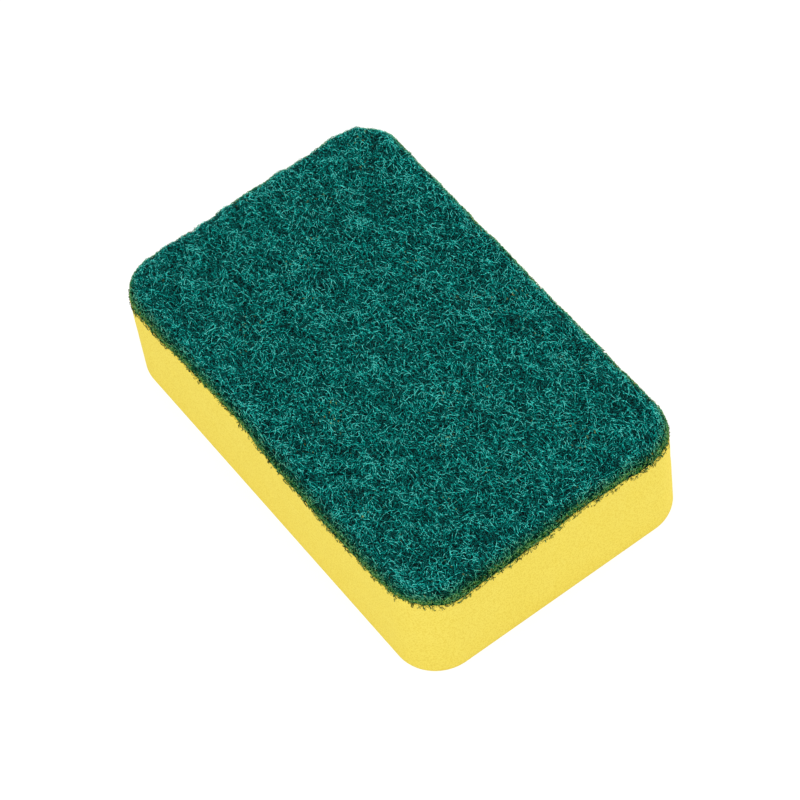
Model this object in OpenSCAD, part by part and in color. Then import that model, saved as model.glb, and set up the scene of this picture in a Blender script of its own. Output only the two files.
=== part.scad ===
// Cleaning sponge: a yellow foam block with a scouring pad of green fibre bonded all over its top.
// X runs along the length, Y across the width and Z up, from the middle of the foam's underside.

/* [Foam block] */
// Length of the foam block
foam_l = 110; // [80:1:160]
// Width of the foam block
foam_w = 70; // [50:1:100]
// Height of the foam under the flat middle of the pad
foam_h = 25; // [12:0.5:40]
// Radius of the block's upright corners
corner_r = 10; // [9:0.5:20]

/* [Bonded seam] */
// Width of the band along the rim in which the seam rises and falls
seam_band = 6; // [4.5:0.5:7]
// How far the foam's rim is pressed down below its flat middle
seam_drop = 0.4; // [0:0.1:2]
// Height of the short ripples along the seam
seam_ripple = 0.25; // [0:0.05:0.5]

/* [Scouring pad] */
// Thickness of the pad where its rolled edge meets its top
pad_h = 4.2; // [4:0.1:10]
// How much the top crowns from there to the middle
pad_crown = 0.4; // [0:0.1:2]
// How far the pad's cut edge stands in from the foam's walls
edge_in = 0.15; // [0.1:0.05:1]
// How much more the edge wanders in and out along the rim
edge_wander = 0.2; // [0:0.05:0.6]
// How far the edge draws in for each millimetre that the seam rises
edge_follow = 0.2; // [0:0.05:0.5]
// Width of the rolled edge, from the walls to the top
roll_w = 3.5; // [3:0.25:6]
// Height of the tufts and hollows on the top
tuft_h = 0.55; // [0:0.05:1]
// Distance from one tuft to the next
tuft_pitch = 12; // [8:0.5:20]
// Height of the strand ridges, which run mainly along the length
strand_h = 0.3; // [0:0.05:0.6]
// Distance from one strand ridge to the next
strand_pitch = 5; // [4.5:0.5:12]

/* [Surface steps] */
// Size of one cell of the top's surface grid
cell = 1.8; // [1.8:0.1:4]
// Steps up the rolled edge
roll_steps = 6; // [3:1:8]

/* [Hidden] */
// Places where the seam rises, each as its share of the way round the rim from the front left
// corner, its rise, and the share of the rim that it takes on each side
seam_rises = [
    [0.075, 0.6, 0.035], [0.12, 2, 0.055], [0.292, 2.2, 0.044], [0.43, 1.3, 0.07],
    [0.56, 0.8, 0.05], [0.68, 1.1, 0.06], [0.79, 0.6, 0.04], [0.89, 1.3, 0.06]
];
// Highest of those rises, and the widest that the edge of the pad can stand in
rise_most = max([for (s = seam_rises) s[1]]);
edge_most = edge_in + edge_wander + edge_follow * rise_most;
// Cells along the length and the width, and points round the rim
nx = round(foam_l / cell);
ny = round(foam_w / cell);
n = 2 * (nx + ny);
// Level that the foam's rim stays under, and how far the cut above the seam reaches past the block
rim_most = foam_h + rise_most + 2 * seam_ripple;
past = 1;

// Share of the way round the rim between two places on it
function apart(a, b) = let (d = abs(a - b) % 1) min(d, 1 - d);

// Smooth bump of height 1, half a bump wide on each side
function bump(d, half) = d < half ? pow(cos(90 * d / half), 2) : 0;

function sum(list, i = 0) = i < len(list) ? list[i] + sum(list, i + 1) : 0;

// Place of rim point i on a square from -1 to 1, from the front left corner and counter-clockwise
function rim_uv(i) =
    i < nx ? [-1 + 2 * i / nx, -1] :
    i < nx + ny ? [1, -1 + 2 * (i - nx) / ny] :
    i < 2 * nx + ny ? [1 - 2 * (i - nx - ny) / nx, 1] :
    [-1, 1 - 2 * (i - 2 * nx - ny) / ny];

// How far a coordinate reaches into a corner, from 0 where the corner starts to 1 at the outline
function into_corner(p, half, r) = max(0, (abs(p) - half + r) / r);

// Maps a place on the square to the block's plan, drawn in by d, with the square's border on the outline
function plan(uv, d) =
    let (hx = foam_l / 2 - d, hy = foam_w / 2 - d, r = corner_r - d,
         a = into_corner(uv.x * hx, hx, r), b = into_corner(uv.y * hy, hy, r))
    [sign(uv.x) * (min(abs(uv.x) * hx, hx - r) + r * a * sqrt(1 - b * b / 2)),
     sign(uv.y) * (min(abs(uv.y) * hy, hy - r) + r * b * sqrt(1 - a * a / 2))];

// How far the seam rises at rim point i
function rise(i) = sum([for (s = seam_rises) s[1] * bump(apart(i / n, s[0]), s[2])]);

// Set-in of the pad's cut edge at rim point i
function edge(i) =
    let (t = i / n)
    edge_in + edge_follow * rise(i) +
    edge_wander * (0.5 + 0.3 * sin(360 * 13 * t) + 0.2 * sin(360 * 29 * t + 50));

// Height of the seam at rim point i, drawn in by d: it follows the rim there and is flat past the band
function seam_z(i, d) =
    let (t = i / n, ripple = seam_ripple * (sin(360 * 17 * t) + 0.6 * sin(360 * 31 * t + 70)))
    foam_h + (rise(i) + ripple - seam_drop) * bump(max(0, d - edge_most), seam_band - edge_most);

// Relief of the web: rounded tufts and hollows, and strand ridges that wander along the length
function relief(p) =
    let (x = p.x + 2.4 * sin(360 * p.y / 31), y = p.y + 2.0 * sin(360 * p.x / 43 + 30))
    tuft_h * sin(360 * x / tuft_pitch + 40 * sin(360 * y / 19)) * sin(360 * y / (0.8 * tuft_pitch)) +
    strand_h * sin(360 * y / strand_pitch + 110 * sin(360 * x / 37) + 60 * sin(360 * x / 13));

// Height of the pad's top over a point of the plan
function top_z(p) =
    foam_h + pad_h + relief(p) +
    pad_crown * (1 - pow(2 * p.x / foam_l, 2)) * (1 - pow(2 * p.y / foam_w, 2));

// Point i of a ring on the seam, drawn in by d
function seam_point(i, d) = let (p = plan(rim_uv(i), d)) [p.x, p.y, seam_z(i, d)];

// Rings on the seam, from the pad's edge to the end of the band
seam_rings = [
    [for (i = [0:n - 1]) seam_point(i, edge(i))],
    for (k = [1:3]) [for (i = [0:n - 1]) seam_point(i, edge_most + (seam_band - edge_most) * k / 3)]
];

// Point i of ring k of the rolled edge, a quarter of an ellipse from the seam up to the top
function roll_point(i, k) =
    let (turn = 90 * k / roll_steps,
         p = plan(rim_uv(i), edge(i) + (roll_w - edge(i)) * (1 - cos(turn))),
         low = seam_rings[0][i].z)
    [p.x, p.y, low + (top_z(p) - low) * sin(turn)];

// Triangles between ring a and ring b of n points, facing out where b lies above or outside a
function band(a, b) = [
    for (i = [0:n - 1]) let (j = (i + 1) % n)
        each [[a + i, b + i, b + j], [a + i, b + j, a + j]]
];

// Ring of n points as one face, counter-clockwise seen from above or turned over
function ring_face(a) = [for (i = [0:n - 1]) a + i];
function turned(face) = [for (i = [len(face) - 1:-1:0]) face[i]];

// Everything above the seam, past the block on all sides
module above_seam() {
    wide = [for (i = [0:n - 1]) let (p = plan(rim_uv(i), -past)) [p.x, p.y, seam_z(i, 0)]];
    high = [for (p = wide) [p.x, p.y, rim_most + past]];
    polyhedron(
        points = concat(high, wide, [for (ring = seam_rings) each ring]),
        faces = concat(
            [turned(ring_face(0))],
            [for (k = [1:5]) each band(k * n, (k - 1) * n)],
            [ring_face(5 * n)]
        ),
        convexity = 6
    );
}

// Plan of the foam block, with round corners
module foam_plan() {
    square([foam_l - 2 * corner_r, foam_w], center = true);
    square([foam_l, foam_w - 2 * corner_r], center = true);
    for (x = [-1, 1], y = [-1, 1])
        translate([x * (foam_l / 2 - corner_r), y * (foam_w / 2 - corner_r)])
            circle(r = corner_r, $fn = 96);
}

module foam_block() {
    color([0.95, 0.87, 0.36])
        difference() {
            linear_extrude(rim_most) foam_plan();
            above_seam();
        }
}

// Index of grid place (i, j) on the top: its border is the last ring of the rolled edge
function top_index(i, j) =
    let (last = (len(seam_rings) + roll_steps - 1) * n)
    j == 0 ? last + i :
    i == nx ? last + nx + j :
    j == ny ? last + 2 * nx + ny - i :
    i == 0 ? last + 2 * nx + 2 * ny - j :
    last + n + (j - 1) * (nx - 1) + i - 1;

// Web of fibre: it sits on the seam, rolls up over its cut edge and ends in a tufted top
module scouring_pad() {
    m = len(seam_rings);
    inner = [
        for (j = [1:ny - 1], i = [1:nx - 1])
            let (p = plan([2 * i / nx - 1, 2 * j / ny - 1], roll_w)) [p.x, p.y, top_z(p)]
    ];
    color([0, 0.42, 0.36])
        polyhedron(
            points = concat(
                [for (k = [m - 1:-1:0]) each seam_rings[k]],
                [for (k = [1:roll_steps], i = [0:n - 1]) roll_point(i, k)],
                inner
            ),
            faces = concat(
                [ring_face(0)],
                [for (k = [0:m + roll_steps - 2]) each band(k * n, (k + 1) * n)],
                [for (j = [0:ny - 1], i = [0:nx - 1])
                    let (a = top_index(i, j), b = top_index(i + 1, j),
                         c = top_index(i + 1, j + 1), d = top_index(i, j + 1))
                    each [[a, c, b], [a, d, c]]]
            ),
            convexity = 6
        );
}

foam_block();
scouring_pad();
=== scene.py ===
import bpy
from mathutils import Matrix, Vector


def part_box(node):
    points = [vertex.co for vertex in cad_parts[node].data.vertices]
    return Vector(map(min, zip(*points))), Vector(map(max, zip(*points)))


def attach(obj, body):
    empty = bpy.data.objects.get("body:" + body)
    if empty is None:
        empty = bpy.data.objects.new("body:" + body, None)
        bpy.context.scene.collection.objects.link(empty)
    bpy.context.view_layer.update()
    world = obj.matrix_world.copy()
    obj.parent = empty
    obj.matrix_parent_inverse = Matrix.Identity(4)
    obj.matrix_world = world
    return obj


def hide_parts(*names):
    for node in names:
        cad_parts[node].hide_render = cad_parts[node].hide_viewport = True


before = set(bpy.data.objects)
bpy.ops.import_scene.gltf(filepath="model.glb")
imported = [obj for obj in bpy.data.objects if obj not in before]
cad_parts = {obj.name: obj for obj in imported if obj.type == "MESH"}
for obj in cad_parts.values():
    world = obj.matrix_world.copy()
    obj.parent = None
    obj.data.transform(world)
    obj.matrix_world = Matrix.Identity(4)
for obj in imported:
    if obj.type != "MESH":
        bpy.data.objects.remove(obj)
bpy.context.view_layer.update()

import math

import bmesh
import bpy
import numpy as np
from mathutils import Matrix, Vector

# Cleaning sponge: a foam block under a scouring pad of curly fibre, in metres and in the frame of its
# solids. Its length runs along X, its width along Y, and its underside lies at Z = 0
mm = 0.001
turn = 2 * math.pi


# Shader maths
class Sock:                     # one output socket, with operators that add Math nodes
    def __init__(self, shader, socket):
        self.shader = shader
        self.socket = socket

    def maths(self, operation, a, b=None):
        values = {0: a} if b is None else {0: a, 1: b}
        return self.shader.node("ShaderNodeMath", {"operation": operation}, values)

    def __add__(self, other):
        return self.maths("ADD", self, other)

    def __radd__(self, other):
        return self.maths("ADD", other, self)

    def __sub__(self, other):
        return self.maths("SUBTRACT", self, other)

    def __rsub__(self, other):
        return self.maths("SUBTRACT", other, self)

    def __mul__(self, other):
        return self.maths("MULTIPLY", self, other)

    def __rmul__(self, other):
        return self.maths("MULTIPLY", other, self)

    def __abs__(self):
        return self.maths("ABSOLUTE", self)

    def larger(self, other):
        return self.maths("MAXIMUM", self, other)

    def between(self, low, high):           # 0 at low, 1 at high, eased; low may be the larger one
        sockets = {"Value": self, "From Min": low, "From Max": high}
        return self.shader.node("ShaderNodeMapRange", {"interpolation_type": "SMOOTHSTEP"}, sockets)


class Shader:                   # the nodes of one material or world, with the one method that adds them
    def __init__(self, owner):
        self.owner = owner
        self.owner.use_nodes = True
        self.tree = self.owner.node_tree
        self.tree.nodes.clear()

    def node(self, kind, settings, sockets, output=0):
        made = self.tree.nodes.new(kind)
        for key, value in settings.items():
            if key == "stops":
                ramp = made.color_ramp.elements
                while len(ramp) < len(value):
                    ramp.new(0.5)
                for stop, (place, shown) in zip(ramp, value):
                    stop.position = place
                    stop.color = colour(*shown)
            else:
                setattr(made, key, value)
        for key, value in sockets.items():
            if isinstance(value, Sock):
                self.tree.links.new(value.socket, made.inputs[key])
            else:
                made.inputs[key].default_value = value
        return Sock(self, made.outputs[output]) if len(made.outputs) else None

    def place(self):                        # the point on the piece, in millimetres
        point = self.node("ShaderNodeTexCoord", {}, {}, "Object")
        return self.node("ShaderNodeVectorMath", {"operation": "SCALE"}, {0: point, "Scale": 1 / mm})

    # Noise from 0 to 1 with bumps about size millimetres wide, moved by shift, and narrower along an axis
    # the more it is squeezed there
    def noise(self, place, size, detail=2, shift=0, squeeze=(1, 1, 1)):
        scale = tuple(share / size for share in squeeze)
        sockets = {"Vector": place, "Location": (shift, shift, shift), "Scale": scale}
        moved = self.node("ShaderNodeMapping", {"vector_type": "POINT"}, sockets)
        return self.node("ShaderNodeTexNoise", {}, {"Vector": moved, "Scale": 1, "Detail": detail}, "Fac")

    def mixed(self, factor, a, b):          # colour a where factor is 0, colour b where it is 1
        settings = {"data_type": "RGBA", "blend_type": "MIX"}
        return self.node("ShaderNodeMix", settings, {0: factor, 6: a, 7: b}, 2)

    def seenRay(self):                      # 1 where the camera sees it, also mirrored or through glass
        kinds = ("Is Camera Ray", "Is Glossy Ray", "Is Transmission Ray")
        direct, mirrored, through = (self.node("ShaderNodeLightPath", {}, {}, kind) for kind in kinds)
        return direct.larger(mirrored).larger(through)

    # Surface and output of a material. height makes a bump of that depth, and constants are other sockets
    def finish(self, tone, roughness, height=None, depth=0, **constants):
        sockets = {"Base Color": tone, "Roughness": roughness}
        if height is not None:
            bump = {"Height": height, "Distance": depth, "Strength": 1}
            sockets["Normal"] = self.node("ShaderNodeBump", {}, bump)
        sockets.update({name.replace("_", " "): value for name, value in constants.items()})
        surface = self.node("ShaderNodeBsdfPrincipled", {}, sockets)
        self.node("ShaderNodeOutputMaterial", {}, {"Surface": surface})
        return self.owner


def colour(red, green, blue):   # a colour given as it shows on screen, from 0 to 255, as light
    shares = [c / 255 for c in (red, green, blue)]
    return (*(s / 12.92 if s <= 0.04045 else ((s + 0.055) / 1.055) ** 2.4 for s in shares), 1)


# Form of the block, as its solids have it
foamLow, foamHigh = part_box("foam_block")
block = {
    "length": foamHigh[0] - foamLow[0],
    "width": foamHigh[1] - foamLow[1],
    "height": 25 * mm,              # of the foam under the flat middle of the pad
    "corner": 10 * mm,
}
seam = {
    "band": 6 * mm,                 # width of the band along the rim where the seam rises and falls
    "drop": 0.4 * mm,               # how far the rim is pressed down
    "ripple": 0.25 * mm,            # height of the short ripples along it
    # waves of the ripple: how many go round the rim, their share of its height, and their start in turns
    "rippleWaves": [(17, 1, 0), (31, 0.6, 70 / 360)],
    # share of the way round from the front left corner, rise, and the share it takes on each side
    "rises": [
        (0.075, 0.6 * mm, 0.035), (0.12, 2 * mm, 0.055),
        (0.292, 2.2 * mm, 0.044), (0.43, 1.3 * mm, 0.07),
        (0.56, 0.8 * mm, 0.05), (0.68, 1.1 * mm, 0.06),
        (0.79, 0.6 * mm, 0.04), (0.89, 1.3 * mm, 0.06),
    ],
}
padForm = {
    "thick": 4.2 * mm,              # where the rolled edge meets the top
    "crown": 0.4 * mm,              # how much the top rises from there to the middle
    "edgeIn": 0.15 * mm,            # how far the cut edge stands in from the walls
    "edgeWander": 0.2 * mm,         # how much more it wanders in
    "edgeWaves": [(13, 0.3, 0), (29, 0.2, 50 / 360)],       # in waves like those of the ripple
    "edgeFollow": 0.2,              # and how much more, as a share of the seam's rise there
    "roll": 3.5 * mm,               # width of the rolled edge, seen from above
    "rollLength": 6.2 * mm,         # length over the rolled edge, from the top to the seam
    "clear": 0.08 * mm,             # how far off the wall fibres hang
    # within this angle of the seam, what stands off the pad goes less outwards and more up
    "footAngle": 0.5,
    "footOut": 0.5,
    "footUp": 0.8,
    "tuft": 0.55 * mm,              # height of the tufts
    "tuftPitch": 12 * mm,           # distance between them along the length
    "tuftRows": 0.8,                # and across the width, as a share of that
    "strand": 0.3 * mm,             # height of the strand ridges
    "strandPitch": 5 * mm,          # distance between them
    # sways of that relief: how far, length of one, and start in turns
    "swayX": (2.4 * mm, 31 * mm, 0),
    "swayY": (2.0 * mm, 43 * mm, 30 / 360),
    # the same for its waves, where how far is in turns too
    "swayTufts": (40 / 360, 19 * mm, 0),
    "swayStrands": (110 / 360, 37 * mm, 0),
    "swayStrandsMore": (60 / 360, 13 * mm, 0),
}
halfX = block["length"] / 2
halfY = block["width"] / 2
# Shares of the rim that one long and one short side take
shareX = block["length"] / (2 * (block["length"] + block["width"]))
shareY = 0.5 - shareX
riseMost = max(rise for _, rise, _ in seam["rises"])
edgeMost = padForm["edgeIn"] + padForm["edgeWander"] + padForm["edgeFollow"] * riseMost


def waved(a):                   # sine of an angle counted in whole turns
    return np.sin(turn * a)


# Squared cosine of a quarter turn times distance over half, and 0 past half
def hump(distance, half):
    return np.where(distance < half, np.cos(turn / 4 * np.minimum(distance / half, 1)) ** 2, 0)


# How far p lies past the start of the corner, over its radius, and 0 on the straight
def intoCorner(p, half, radius):
    return np.maximum(0, (np.abs(p) - half + radius) / radius)


# Place in the plan of (u, v) on a square from -1 to 1: straight sides keep their share, and in a corner
# each of a and b is multiplied by the root of 1 less half the other's square, which is a round outline
def planPoint(u, v, drawnIn):
    hx, hy, r = halfX - drawnIn, halfY - drawnIn, block["corner"] - drawnIn
    a = intoCorner(u * hx, hx, r)
    b = intoCorner(v * hy, hy, r)
    x = np.sign(u) * (np.minimum(np.abs(u) * hx, hx - r) + r * a * np.sqrt(1 - b * b / 2))
    y = np.sign(v) * (np.minimum(np.abs(v) * hy, hy - r) + r * b * np.sqrt(1 - a * a / 2))
    return x, y


# Place on the square's border of a share t of the way round: along the front, up the right side,
# back along the far side and down the left one
def rimUv(t):
    t = t % 1
    side = [t < shareX, t < 0.5, t < 0.5 + shareX]
    u = np.select(side, [2 * t / shareX - 1, 1 + 0 * t, 1 - 2 * (t - 0.5) / shareX], -1)
    v = np.select(side, [-1 + 0 * t, 2 * (t - shareX) / shareY - 1, 1 + 0 * t],
                  1 - 2 * (t - 0.5 - shareX) / shareY)
    return u, v


# Nearest place on the rim of a point of the plan, as a share of the way round, with how far the point
# lies past the start of the rolled edge, and the direction outwards there. In a corner u and v are the
# ones from which planPoint makes that direction
def rimPlace(x, y):
    r = block["corner"]
    cx = np.clip(x, r - halfX, halfX - r)
    cy = np.clip(y, r - halfY, halfY - r)
    reach = np.hypot(x - cx, y - cy)
    outX = (x - cx) / np.maximum(reach, 1e-9)
    outY = (y - cy) / np.maximum(reach, 1e-9)
    u = (cx + r * math.sqrt(2) * outX) / halfX
    v = (cy + r * math.sqrt(2) * outY) / halfY
    onSide = np.abs(outX) >= np.abs(outY)
    alongX = np.where(outY < 0, shareX * (u + 1) / 2, 0.5 + shareX * (1 - u) / 2)
    alongY = np.where(outX > 0, shareX + shareY * (v + 1) / 2, 0.5 + shareX + shareY * (1 - v) / 2)
    return np.where(onSide, alongY, alongX), reach - r + padForm["roll"], outX, outY


def seamRise(t):                # sum of the humps along the rim
    total = 0 * t
    for place, rise, half in seam["rises"]:
        apart = np.abs(t - place) % 1
        total = total + rise * hump(np.minimum(apart, 1 - apart), half)
    return total


def rimWaves(t, waves):         # sum of sines that close on themselves round the rim
    return sum(share * waved(number * t + start) for number, share, start in waves)


# Set-in of the pad's cut edge: its least, a share of the seam's rise, and a wave
def edgeInset(t):
    wander = 0.5 + rimWaves(t, padForm["edgeWaves"])
    return padForm["edgeIn"] + padForm["edgeFollow"] * seamRise(t) + padForm["edgeWander"] * wander


# Height of the seam: the block's, plus the rises and the ripple less the drop, which fade out across
# the band
def seamHeight(t, drawnIn):
    ripple = seam["ripple"] * rimWaves(t, seam["rippleWaves"])
    fade = hump(np.maximum(0, drawnIn - edgeMost), seam["band"] - edgeMost)
    return block["height"] + (seamRise(t) + ripple - seam["drop"]) * fade


def sway(name, place):          # sine along a line, as padForm gives it
    size, length, start = padForm[name]
    return size * waved(place / length + start)


# Relief of the top: product of two waves for the tufts, plus one wave for the strand ridges, all swaying
def relief(x, y):
    swayedX = x + sway("swayX", y)
    swayedY = y + sway("swayY", x)
    pitch = padForm["tuftPitch"]
    along = waved(swayedX / pitch + sway("swayTufts", swayedY))
    across = waved(swayedY / (padForm["tuftRows"] * pitch))
    wander = sway("swayStrands", swayedX) + sway("swayStrandsMore", swayedX)
    strands = waved(swayedY / padForm["strandPitch"] + wander)
    return padForm["tuft"] * along * across + padForm["strand"] * strands


# Height of the top: seam, thickness and relief, plus a crown that falls off as 1 less the square to
# each side
def topHeight(x, y):
    crown = padForm["crown"] * (1 - (x / halfX) ** 2) * (1 - (y / halfY) ** 2)
    return block["height"] + padForm["thick"] + relief(x, y) + crown


# Folds a point of a flat sheet over the pad: it lies on the top as far as the roll, turns a quarter of
# an ellipse down to the seam, goes out over the foam's rim and hangs down the wall. lift is how far it
# stands off, and hang is the share of its way past the seam that it keeps
def foldOver(x, y, lift, hang=0):
    t, past, outX, outY = rimPlace(x, y)
    angle = turn / 4 * np.clip(1 - past / padForm["rollLength"], 0, 1)
    beyond = hang * np.maximum(0, past - padForm["rollLength"])
    inset = edgeInset(t)
    out = np.minimum(beyond, inset + padForm["clear"])
    low = seamHeight(t, inset) - (beyond - out)
    drawn = inset + (padForm["roll"] - inset) * (1 - np.cos(angle)) - out
    moved = padForm["roll"] - drawn - np.maximum(past, 0)
    rolled = past > 0
    px = np.where(rolled, x + outX * moved, x)
    py = np.where(rolled, y + outY * moved, y)
    top = topHeight(px, py)
    pz = np.where(rolled, low + (top - low) * np.sin(angle), top)
    foot = np.clip(1 - angle / padForm["footAngle"], 0, 1)      # 1 at the seam
    side = np.where(rolled, np.cos(angle) * (1 - padForm["footOut"] * foot), 0)
    up = np.where(rolled, np.sin(angle) + padForm["footUp"] * foot, 1)
    size = np.hypot(side, up)
    normal = np.stack([outX * side / size, outY * side / size, up / size], -1)
    return np.stack([px, py, pz], -1) + normal * np.asarray(lift)[..., None], normal


# Field of plane waves in random directions, each about size long: their sum, scaled to a spread of 1
def waveField(size, seed, count=40):
    draw = np.random.default_rng(seed)
    angle = draw.uniform(0, turn, count)
    number = draw.uniform(0.7, 1.4, count) / size
    phase = draw.uniform(0, 1, count)

    def field(x, y):
        shape = np.shape(x)
        flatX, flatY = np.ravel(x)[:, None], np.ravel(y)[:, None]
        waves = waved(flatX * np.cos(angle) * number + flatY * np.sin(angle) * number + phase)
        return (waves.sum(1) * math.sqrt(2 / count)).reshape(shape)

    return field


# Making meshes

# Quads of a grid of points numbered row by row from start, with rows that close on themselves if asked
def gridFaces(rows, columns, start=0, closed=False):
    index = np.arange(rows * columns).reshape(rows, columns) + start
    if closed:
        index = np.concatenate([index, index[:, :1]], 1)
    return np.stack([index[:-1, :-1], index[:-1, 1:], index[1:, 1:], index[1:, :-1]], -1).reshape(-1, 4)


def addPiece(name, points, faces, material, attributes=None, smooth=True):
    mesh = bpy.data.meshes.new(name)
    mesh.from_pydata(points.reshape(-1, 3).tolist(), [], faces)
    for label, values in (attributes or {}).items():
        layer = mesh.attributes.new(label, "FLOAT", "POINT")
        layer.data.foreach_set("value", values.astype(np.float32).ravel())
    mesh.polygons.foreach_set("use_smooth", np.full(len(mesh.polygons), smooth))
    mesh.materials.append(material)
    mesh.update()
    piece = bpy.data.objects.new(name, mesh)
    bpy.context.scene.collection.objects.link(piece)
    triangles = sum(len(face.vertices) - 2 for face in mesh.polygons)
    print(f"{name}: {triangles} triangles")
    return piece


# Rings of points one above the other, closed by one flat face at the bottom, and at the top by a grid
# whose border lies on the last ring, or by one flat face
def closedForm(name, rings, material, top=None, attributes=None):
    levels, around, _ = rings.shape
    faces = gridFaces(levels, around, closed=True).tolist()
    points = [rings.reshape(-1, 3)]
    flat = [list(range(around - 1, -1, -1))]
    if top is None:
        flat.append(list(range((levels - 1) * around, levels * around)))
    else:
        faces += gridFaces(top.shape[0], top.shape[1], levels * around).tolist()
        points.append(top.reshape(-1, 3))
    piece = addPiece(name, np.concatenate(points), faces + flat, material, attributes)
    for face in piece.data.polygons[len(faces):]:
        face.use_smooth = False
    if top is not None:
        work = bmesh.new()
        work.from_mesh(piece.data)
        bmesh.ops.remove_doubles(work, verts=work.verts, dist=0.002 * mm)       # joins grid and last ring
        work.to_mesh(piece.data)
        work.free()
    return piece


# Shares of the way round, in order, at the border points of such a grid
def rimShares(across, along):
    long = np.arange(across) / across * shareX
    short = np.arange(along) / along * shareY
    return np.concatenate([long, shareX + short, 0.5 + long, 0.5 + shareX + short])


# Foam block
foam = {
    "across": 150, "along": 95,     # cells along the length and the width
    "edgeSteps": 4,                 # cells round the lower edges
    "rows": 23,                     # and up the walls
    "underRows": 9,                 # and in under the pad
    "edge": 0.35 * mm,              # radius of the lower edges
    "uneven": 0.02 * mm,            # how much the cut walls wander
    "unevenSize": 8 * mm,           # length of one such wave
    "around": 300 * mm,             # length that stands for the whole rim there
    "face": colour(238, 218, 94),
    # darker tone of the grain, and also painted shade in the pits of the cells
    "deep": colour(216, 184, 48),
    "pale": colour(241, 223, 106),
    # sizes in millimetres of what the tone varies with, and how much each counts
    "cloudSize": 7, "cloudShare": 0.3,
    "grainSize": 0.36, "grainShare": 0.45,
    "cellSize": 1 / 2.2, "pitShadeShare": 0.15,
    "bump": 0.06 * mm,
}


def foamMaterial():
    shader = Shader(bpy.data.materials.new("open cell foam"))
    place = shader.place()
    cloud = shader.noise(place, foam["cloudSize"]).between(0.3, 0.7)
    grain = shader.noise(place, foam["grainSize"], 1, shift=7)
    cells = {"Vector": place, "Scale": 1 / foam["cellSize"]}
    pits = shader.node("ShaderNodeTexVoronoi", {"feature": "F1"}, cells, "Distance").between(0.3, 0.05)
    tone = shader.mixed(foam["cloudShare"] * cloud, foam["face"], foam["pale"])
    # the grain takes a darker tone, and the pits of the cells get painted shade
    deep = foam["grainShare"] * grain.between(0.4, 0.7) + foam["pitShadeShare"] * pits
    tone = shader.mixed(deep, tone, foam["deep"])
    height = 0.5 * grain - 0.4 * pits
    return shader.finish(tone, 0.92 + 0.05 * cloud, height, foam["bump"], Specular_IOR_Level=0.1)


def makeFoam():
    t = rimShares(foam["across"], foam["along"])
    u, v = rimUv(t)
    rim = seamHeight(t, 0)
    wander = waveField(foam["unevenSize"], 11)
    levels = []
    for angle in np.linspace(0, turn / 4, foam["edgeSteps"] + 1):           # round the lower edge
        x, y = planPoint(u, v, foam["edge"] * (1 - math.sin(angle)))
        levels.append(np.stack([x, y, 0 * t + foam["edge"] * (1 - math.cos(angle))], -1))
    for share in np.linspace(0, 1, foam["rows"] + 1)[1:]:                   # up the walls
        z = foam["edge"] + (rim - foam["edge"]) * share
        out = foam["uneven"] * wander(t * foam["around"], z) * math.sin(turn / 2 * share)
        x, y = planPoint(u, v, -out)
        levels.append(np.stack([x, y, z], -1))
    for drawnIn in np.linspace(0, seam["band"], foam["underRows"] + 1)[1:]:     # in under the pad
        x, y = planPoint(u, v, drawnIn)
        levels.append(np.stack([x, y, seamHeight(t, drawnIn)], -1))
    piece = closedForm("foamBlock", np.array(levels), foamMaterial())
    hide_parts("foam_block")
    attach(piece, "root")


# Body of the scouring pad, which shows between its fibres. Its dark tone is painted shade in the gaps
# between them, and its low threads are painted darker than its high ones
web = {
    "across": 165, "along": 105,    # cells along the length and the width
    "underRows": 4,                 # and under the rolled edge
    "rollRows": 16,                 # and up it
    "sunk": 0.36 * mm,              # how far the body lies under the fibres' own level
    "sinkOver": 1.2 * mm,           # way up from the seam over which it sinks that far
    "pit": 0.1 * mm,                # depth of the pits between clumps of fibre
    # near the seam the body and fibres get painted shade, tinted by the yellow light that the foam throws
    # back
    "rimShadeFrom": 1.4 * mm,          # way down the rolled edge to where it starts to turn green
    "rimShadeOver": 3.4 * mm,          # and how much farther it is all green
    # painted shade of the deep gaps between the fibres
    "gapShade": colour(0, 14, 16),
    "middle": colour(0, 84, 80),
    "bright": colour(20, 154, 144),
    # painted shade with the foam's yellow bounce light, near the seam
    "green": colour(16, 70, 20),
    # two sorts of drawn threads that lie high, and two that lie low: size in millimetres, width in the
    # noise's own levels, and shift
    "near": [(1, 0.03, 3), (0.7, 0.035, 17)],
    "far": [(0.7, 0.05, 29), (0.5, 0.05, 43)],
    "bump": 0.2 * mm,
}
tuftField = waveField(9 * mm, 21)
clumpField = waveField(2.4 * mm, 22)
fringeField = waveField(1.1 * mm, 23)


# Two sorts of curly threads, each the level lines of a smooth noise: thin, and bent back on themselves
def threads(shader, place, sorts):
    lines = []
    for size, width, shift in sorts:
        level = shader.noise(place, size, 0, shift, (0.85, 1.1, 1))
        lines.append(abs(level - 0.5).between(width, width * 0.3))
    return lines[0].larger(lines[1])


def webMaterial():
    shader = Shader(bpy.data.materials.new("fibre web"))
    place = shader.place()
    near = threads(shader, place, web["near"])
    far = threads(shader, place, web["far"])
    tuft = shader.noise(place, 5, shift=60).between(0.35, 0.65)
    edge = shader.node("ShaderNodeAttribute", {"attribute_name": "rim"}, {}, "Fac")
    # painted shade: dark between the threads, the low threads darker and the high ones bright
    tone = shader.mixed(0.8 * far, web["gapShade"], web["middle"])
    tone = shader.mixed(near * (0.5 + 0.3 * tuft), tone, web["bright"])
    # painted shade and yellow bounce light from the foam near the seam
    tone = shader.mixed(0.8 * edge, tone, shader.mixed(far, web["gapShade"], web["green"]))
    return shader.finish(tone, 0.8 - 0.1 * near, 0.5 * far + near, web["bump"], Specular_IOR_Level=0.05)


def sunkBy(x, y):               # how far the pad's body lies under the fibres' level
    return web["sunk"] + web["pit"] * clumpField(x, y)


def nearSeam(past):             # 0 on the top and 1 near the seam
    return np.clip((past - web["rimShadeFrom"]) / web["rimShadeOver"], 0, 1)


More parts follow.
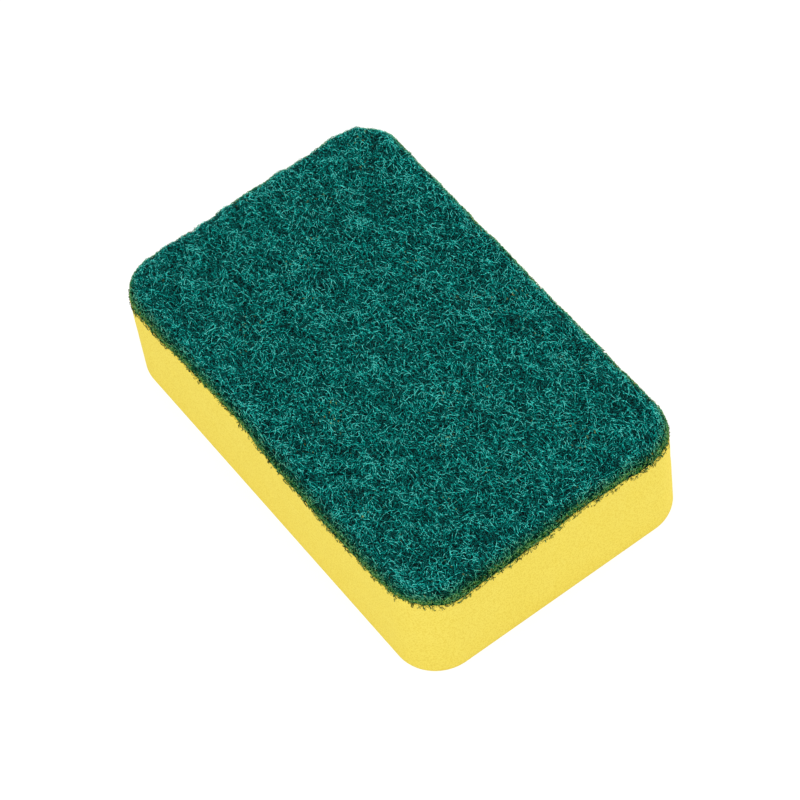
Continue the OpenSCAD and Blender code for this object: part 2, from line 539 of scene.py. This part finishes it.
def makeWebBody():
    t = rimShares(web["across"], web["along"])
    u, v = rimUv(t)
    levels = []
    under = np.linspace(seam["band"], edgeMost, web["underRows"] + 1)[:-1]
    over = np.linspace(padForm["rollLength"], 0, web["rollRows"] + 1)
    for drawnIn in under:           # on the seam, from under the pad to its edge
        x, y = planPoint(u, v, drawnIn)
        levels.append(np.stack([x, y, seamHeight(t, drawnIn)], -1))
    for past in over:               # up the rolled edge
        x, y = planPoint(u, v, padForm["roll"] - past)
        share = min(1, (padForm["rollLength"] - past) / web["sinkOver"])
        levels.append(foldOver(x, y, -sunkBy(x, y) * share)[0])
    u, v = np.meshgrid(np.linspace(-1, 1, web["across"] + 1), np.linspace(-1, 1, web["along"] + 1))
    x, y = planPoint(u, v, padForm["roll"])
    top = foldOver(x, y, -sunkBy(x, y))[0]
    # share of painted shade and yellow bounce light near the seam
    rim = np.concatenate([1 + 0 * under, nearSeam(over)]).repeat(len(t))
    rim = np.concatenate([rim, np.zeros(x.size)])
    piece = closedForm("padBody", np.array(levels), webMaterial(), top, {"rim": rim})
    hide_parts("scouring_pad")
    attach(piece, "root")


# Fibres of the pad: layers of curly threads, each a closed three-sided tube folded over the pad's form.
# They weave down into the body and up again
fibreSteps = 6
fibres = {
    "radius": 0.045 * mm,
    "radiusShare": (0.75, 1.25),    # least and most of it that a fibre has
    "taper": 0.45,                  # how much of it is lost at the ends
    "step": 0.54 * mm,
    "bend": 0.13 / mm,              # spread of their steady turns
    "curl": (0.0, 0.42),            # least and most that they swing to each side
    "wave": (2 * mm, 5 * mm),       # and the length of one swing to both
    "spread": 0.06 * mm,            # of the levels of one layer's fibres
    "weave": 0.24 * mm,             # rise and fall of a fibre about its level
    "period": (1.3 * mm, 2.8 * mm),     # and the length of one rise and fall
    "dive": 0.28 * mm,              # how far its ends go down from there
    "margin": 0.6 * mm,             # how far from the seam their middles end
    "alongShare": 0.4,              # share of the fibres that lie mainly along the length
    "alongSpread": 0.6,             # and the spread of their headings
    # share of its way past the seam that a fibre keeps, how much more on the end that faces right, and how
    # that share changes along the rim and from fibre to fibre
    "hang": 0.42,
    "rightHang": 0.36,
    "hangLevel": 0.9,
    "hangWave": 0.5,
    "hangLimits": (0.2, 2),
    "hangShare": (0.5, 1.5),
}
layers = [
    {"name": "deepFibres", "seed": 101, "count": 4600, "lift": -0.26 * mm},
    {"name": "lowerFibres", "seed": 102, "count": 4600, "lift": -0.18 * mm},
    {"name": "middleFibres", "seed": 103, "count": 4600, "lift": -0.1 * mm},
    {"name": "upperFibres", "seed": 104, "count": 4600, "lift": -0.02 * mm},
]
fringe = {
    "name": "rimFibres", "seed": 105, "count": 4600, "lift": 0.0,
    "inward": 1.8 * mm,             # how far from the seam up the rolled edge their middles lie
    "out": 1.9 * mm,                # and how far past the seam
    "spreadAlong": 1.2,             # spread of their headings about the rim's own
    # painted shade: the fibres along the seam lie in shade and are made darker than the others
    "shadeDim": 0.12,                    # how much darker they are than the others
    "dive": 0.05 * mm,
    "step": 0.3 * mm,
    "radius": 0.06 * mm,
    "bend": 0.4 / mm,
    "curl": (0.5, 1.4),
    "wave": (1.3 * mm, 2.6 * mm),
}
# Tone of a fibre: its place on a ramp is a base, plus its height over a range, which paints shade on the
# deeper fibres, a share of its own, one of its tuft, and flecks along it, which paint glints and shade, a
# little more on the rolled edge as painted light, and less past the seam as painted shade
tones = {
    "base": 0.645,
    # height over which a fibre goes from painted shade to bright, so the deeper fibres and layers look
    # shaded
    "range": 0.62 * mm,
    "own": 0.12,
    "tuft": 0.05,
    # painted light: the rolled edge faces sideways and gets less light, so its fibres are made brighter
    "roll": 0.07,
    "rollLightOver": 3 * mm,             # way down the rolled edge over which that comes
    # painted shade on the fibres that hang past the seam
    "past": 0.5,
    "hangShadeFrom": 0.3 * mm,           # way before the seam from which that goes
    "hangShadeOver": 0.6 * mm,
    # flecks along the fibres are painted glints and shade: how strong they are
    "fleck": 2.1,
    "fleckSize": 0.3,               # in millimetres
    "rimShadeLeast": 0.8,                # least share of the rim's ramp that a fibre at the seam takes
    # the top ramp runs from painted shade at its low end to painted highlights at its high end
    "top": [
        (0, (0, 20, 22)), (0.28, (0, 80, 76)), (0.55, (0, 148, 138)),
        (0.8, (10, 206, 192)), (1, (112, 236, 224)),
    ],
    # the rim ramp is painted shade, tinted by the yellow light that the foam throws back
    "rim": [
        (0, (0, 18, 2)), (0.28, (4, 56, 18)), (0.55, (24, 96, 34)),
        (0.8, (60, 130, 42)), (1, (130, 164, 58)),
    ],
    # crumbs of the foam, which lie in patches: their colour, share, size and patch size in millimetres
    "crumb": colour(160, 146, 24),
    "crumbShare": 0.8,
    "crumbSize": 0.7,
    "crumbPatch": 8,
}


# Direction along a fibre: its first angle, plus a steady turn, plus a sine that makes it curl both ways.
# Its lift is its level, plus a sine for the weave, less a fourth power of the way to its ends
def fibrePaths(x, y, heading, layer, draw):
    count = len(x)
    step = layer.get("step", fibres["step"])
    s = np.arange(fibreSteps + 1) * step
    bend = draw.normal(0, layer.get("bend", fibres["bend"]), (count, 1))
    curl = draw.uniform(*layer.get("curl", fibres["curl"]), (count, 1))
    length = draw.uniform(*layer.get("wave", fibres["wave"]), (count, 1))
    phase = draw.uniform(0, 1, (count, 1))
    angle = heading[:, None] + bend * s + curl * waved(s / length + phase)
    px = np.cumsum(np.cos(angle), 1) * step
    py = np.cumsum(np.sin(angle), 1) * step
    middle = fibreSteps // 2
    px += x[:, None] - px[:, middle:middle + 1]
    py += y[:, None] - py[:, middle:middle + 1]
    base = draw.normal(layer["lift"], fibres["spread"], (count, 1))
    period = draw.uniform(*fibres["period"], (count, 1))
    lift = base + fibres["weave"] * waved(s / period + draw.uniform(0, 1, (count, 1)))
    lift = lift - layer.get("dive", fibres["dive"]) * np.abs(np.linspace(-1, 1, fibreSteps + 1)) ** 4
    return px, py, lift


# Tube round each path: three points a third of a turn apart, at a radius that thins towards both ends
def tubes(paths, normals, radius):
    count, steps, _ = paths.shape
    along = np.gradient(paths, axis=1)
    along /= np.linalg.norm(along, axis=2, keepdims=True)
    side = np.cross(along, normals)
    side /= np.maximum(np.linalg.norm(side, axis=2, keepdims=True), 1e-9)
    up = np.cross(along, side)
    taper = 1 - fibres["taper"] * np.abs(np.linspace(-1, 1, steps)) ** 6
    reach = radius[:, None, None] * taper[None, :, None]
    thirds = [turn * k / 3 for k in range(3)]
    corners = [paths + reach * (side * math.cos(angle) + up * math.sin(angle)) for angle in thirds]
    points = np.stack(corners, 2)
    index = np.arange(count * steps * 3).reshape(count, steps, 3)
    around = np.concatenate([index, index[:, :, :1]], 2)
    here, after = around[:, :-1], around[:, 1:]
    quads = np.stack([here[..., :-1], here[..., 1:], after[..., 1:], after[..., :-1]], -1)
    ends = np.concatenate([index[:, 0, ::-1], index[:, -1, :]])
    return points, quads.reshape(-1, 4).tolist() + ends.tolist()


def fibreMaterial():
    shader = Shader(bpy.data.materials.new("curly fibre"))
    place = shader.place()
    shade = shader.node("ShaderNodeAttribute", {"attribute_name": "shade"}, {}, "Fac")
    rim = shader.node("ShaderNodeAttribute", {"attribute_name": "rim"}, {}, "Fac")
    # flecks along each fibre: painted glints and shade
    fleck = shader.noise(place, tones["fleckSize"], 1, shift=5)
    level = shade + tones["fleck"] * (fleck - 0.5)
    top = shader.node("ShaderNodeValToRGB", {"stops": tones["top"]}, {"Fac": level}, "Color")
    edge = shader.node("ShaderNodeValToRGB", {"stops": tones["rim"]}, {"Fac": level}, "Color")
    # painted shade and yellow bounce light near the seam
    tone = shader.mixed(rim, top, edge)
    patch = shader.noise(place, tones["crumbPatch"], 1, shift=41).between(0.58, 0.66).larger(rim)
    crumbs = shader.noise(place, tones["crumbSize"], 0, shift=77).between(0.74, 0.78) * patch
    tone = shader.mixed(tones["crumbShare"] * crumbs, tone, tones["crumb"])
    return shader.finish(tone, 0.6 + 0.2 * fleck, Specular_IOR_Level=0.06)


# Own map for each fibre: a cell of a square grid, with its length across the cell and its sides up it
def mapFibres(piece, count):
    cells = math.ceil(math.sqrt(count))
    mesh = piece.data
    corner = np.empty(len(mesh.loops), np.int64)
    mesh.loops.foreach_get("vertex_index", corner)
    fibre, rest = np.divmod(corner, (fibreSteps + 1) * 3)
    step, side = np.divmod(rest, 3)
    sides = side.astype(float)
    quadLoops = count * fibreSteps * 3 * 4
    lastQuad = (np.arange(quadLoops) // 4) % 3 == 2
    sides[:quadLoops] = np.where(lastQuad & (side[:quadLoops] == 0), 3, side[:quadLoops])
    margin = 0.1                    # of a cell, left free on each side
    used = 1 - 2 * margin
    u = (fibre % cells + margin + used * step / fibreSteps) / cells
    v = (fibre // cells + margin + used * sides / 3) / cells
    layerMap = mesh.uv_layers.new(name="OFBake")
    layerMap.data.foreach_set("uv", np.stack([u, v], -1).astype(np.float32).ravel())


# Share of its way past the seam that each point of a fibre keeps
def fibreHang(px, py, outX, draw):
    hang = fibres["hang"] + fibres["rightHang"] * np.clip(outX, 0, 1) ** 2
    clumps = fibres["hangLevel"] + fibres["hangWave"] * fringeField(px, py)
    own = draw.uniform(*fibres["hangShare"], (len(px), 1))
    return np.minimum(hang * np.clip(clumps, *fibres["hangLimits"]) * own, 1)


# Brightness of each point of a fibre, from 0 to 1, before its flecks: painted shade darkens it the deeper
# it lies and past the seam, and painted light brightens it on the rolled edge
def fibreShade(layer, px, py, lift, past, draw):
    middle = fibreSteps // 2
    tuft = tuftField(px[:, middle], py[:, middle])
    own = tones["own"] * draw.normal(0, 1, len(px)) + tones["tuft"] * tuft
    # painted light on the rolled edge, which faces sideways
    onRoll = np.clip(past / tones["rollLightOver"], 0, 1)
    # painted shade on the fibres that hang past the seam
    beyond = np.clip((past - padForm["rollLength"] + tones["hangShadeFrom"]) / tones["hangShadeOver"], 0, 1)
    level = tones["base"] - layer.get("shadeDim", 0) + lift / tones["range"] + own[:, None]
    return np.clip(level + tones["roll"] * onRoll - tones["past"] * beyond, 0, 1)


def addFibres(layer, px, py, lift, draw, material):
    _, past, outX, _ = rimPlace(px, py)
    paths, normals = foldOver(px, py, lift, fibreHang(px, py, outX, draw))
    radius = layer.get("radius", fibres["radius"]) * draw.uniform(*fibres["radiusShare"], len(px))
    points, faces = tubes(paths, normals, radius)
    shade = fibreShade(layer, px, py, lift, past, draw)
    # share of the painted shade and yellow bounce light near the seam
    rim = nearSeam(past) * draw.uniform(tones["rimShadeLeast"], 1, (len(px), 1))
    attributes = {"shade": np.repeat(shade.ravel(), 3), "rim": np.repeat(rim.ravel(), 3)}
    piece = addPiece(layer["name"], points, faces, material, attributes)
    mapFibres(piece, len(px))
    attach(piece, "root")


def makeLayer(layer, outset, material):         # fibres all over the pad
    count = layer["count"]
    draw = np.random.default_rng(layer["seed"])
    u = draw.uniform(-1, 1, count)
    v = draw.uniform(-1, 1, count)
    x, y = planPoint(u, v, fibres["margin"] - outset)
    alongLength = draw.uniform(0, 1, count) < fibres["alongShare"]
    mainly = draw.normal(0, fibres["alongSpread"], count)
    heading = np.where(alongLength, mainly, draw.uniform(0, turn, count))
    px, py, lift = fibrePaths(x, y, heading, layer, draw)
    addFibres(layer, px, py, lift, draw, material)


def makeFringe(outset, material):               # fibres along the seam
    count = fringe["count"]
    draw = np.random.default_rng(fringe["seed"])
    u, v = rimUv(draw.uniform(0, 1, count))
    share = np.sqrt(draw.uniform(0, 1, count))  # fewer the farther out
    up = share * (fringe["inward"] + fringe["out"]) - fringe["out"]
    x, y = planPoint(u, v, up - outset)
    _, _, outX, outY = rimPlace(x, y)
    heading = np.arctan2(outX, -outY) + draw.normal(0, fringe["spreadAlong"], count)
    px, py, lift = fibrePaths(x, y, heading, fringe, draw)
    addFibres(fringe, px, py, lift, draw, material)


def makeFibres():
    material = fibreMaterial()
    outset = padForm["rollLength"] - padForm["roll"]    # how far the flat sheet's seam is outside the block
    for layer in layers:
        makeLayer(layer, outset, material)
    makeFringe(outset, material)


# Floor: what it throws back is plain diffuse light, and the camera sees part of it as light of its own,
# so that it is white with a pale shadow
floor = {"size": 3.0, "shade": 0.9, "seen": 0.25, "glow": 0.78}


def makeFloor():
    shader = Shader(bpy.data.materials.new("pale floor"))
    plain = shader.node("ShaderNodeBsdfDiffuse", {}, {"Color": (floor["shade"],) * 3 + (1,)})
    seen = shader.node("ShaderNodeBsdfDiffuse", {}, {"Color": (floor["seen"],) * 3 + (1,)})
    glow = shader.node("ShaderNodeEmission", {}, {"Color": (1, 1, 1, 1), "Strength": floor["glow"]})
    lit = shader.node("ShaderNodeAddShader", {}, {0: seen, 1: glow})
    surface = shader.node("ShaderNodeMixShader", {}, {0: shader.seenRay(), 1: plain, 2: lit})
    shader.node("ShaderNodeOutputMaterial", {}, {"Surface": surface})
    half = floor["size"] / 2
    corners = np.array([[-half, -half, 0], [half, -half, 0], [half, half, 0], [-half, half, 0]])
    addPiece("floor", corners, [[0, 1, 2, 3]], shader.owner, smooth=False)


# Light: an even pale sky, a soft lamp high over the object's near side, and a weak one low behind it
light = {
    "sky": 0.9,
    "seen": 1,                      # strength at which the sky is seen
    "aim": (0, 0, 0.02),            # what the lamps point at
    "lamps": [
        {"name": "overLamp", "power": 4.0, "size": 0.5, "place": (0.19, -0.2, 1.0)},
        {"name": "backLamp", "power": 2.3, "size": 0.5, "place": (-0.1, 1.0, 0.35)},
    ],
}


def aimed(place, target, roll=0.0):         # matrix of something at place that looks along -Z at target
    back = (Vector(place) - Vector(target)).normalized()
    turned = back.to_track_quat("Z", "Y").to_matrix().to_4x4()
    return Matrix.Translation(place) @ turned @ Matrix.Rotation(roll, 4, "Z")


def makeLight():
    shader = Shader(bpy.data.worlds.new("sky"))
    white = {"Color": (1, 1, 1, 1)}
    lit = shader.node("ShaderNodeBackground", {}, {**white, "Strength": light["sky"]})
    seen = shader.node("ShaderNodeBackground", {}, {**white, "Strength": light["seen"]})
    surface = shader.node("ShaderNodeMixShader", {}, {0: shader.seenRay(), 1: lit, 2: seen})
    shader.node("ShaderNodeOutputWorld", {}, {"Surface": surface})
    bpy.context.scene.world = shader.owner
    for one in light["lamps"]:
        lamp = bpy.data.lights.new(one["name"], "AREA")
        lamp.energy = one["power"]
        lamp.size = one["size"]
        holder = bpy.data.objects.new(one["name"], lamp)
        holder.matrix_world = aimed(one["place"], light["aim"])
        bpy.context.scene.collection.objects.link(holder)


# Camera: a long lens, 0.84 m from the block, with the small turn about its axis that the picture shows
view = {
    "place": (0.4044, -0.2230, 0.7006),
    "target": (-0.0041, 0.0022, 0.0031),
    "roll": math.radians(-9.39),
    "lens": 175.4,
}


def makeCamera():
    camera = bpy.data.cameras.new("camera")
    camera.lens = view["lens"]
    camera.sensor_width = 36
    holder = bpy.data.objects.new("camera", camera)
    holder.matrix_world = aimed(view["place"], view["target"], view["roll"])
    bpy.context.scene.collection.objects.link(holder)
    bpy.context.scene.camera = holder
    bpy.context.scene.view_settings.view_transform = "Standard"


makeFoam()
print("foam done")
makeWebBody()
print("pad body done")
makeFibres()
print("fibres done")
makeFloor()
makeLight()
makeCamera()
print("stage, light and camera done")
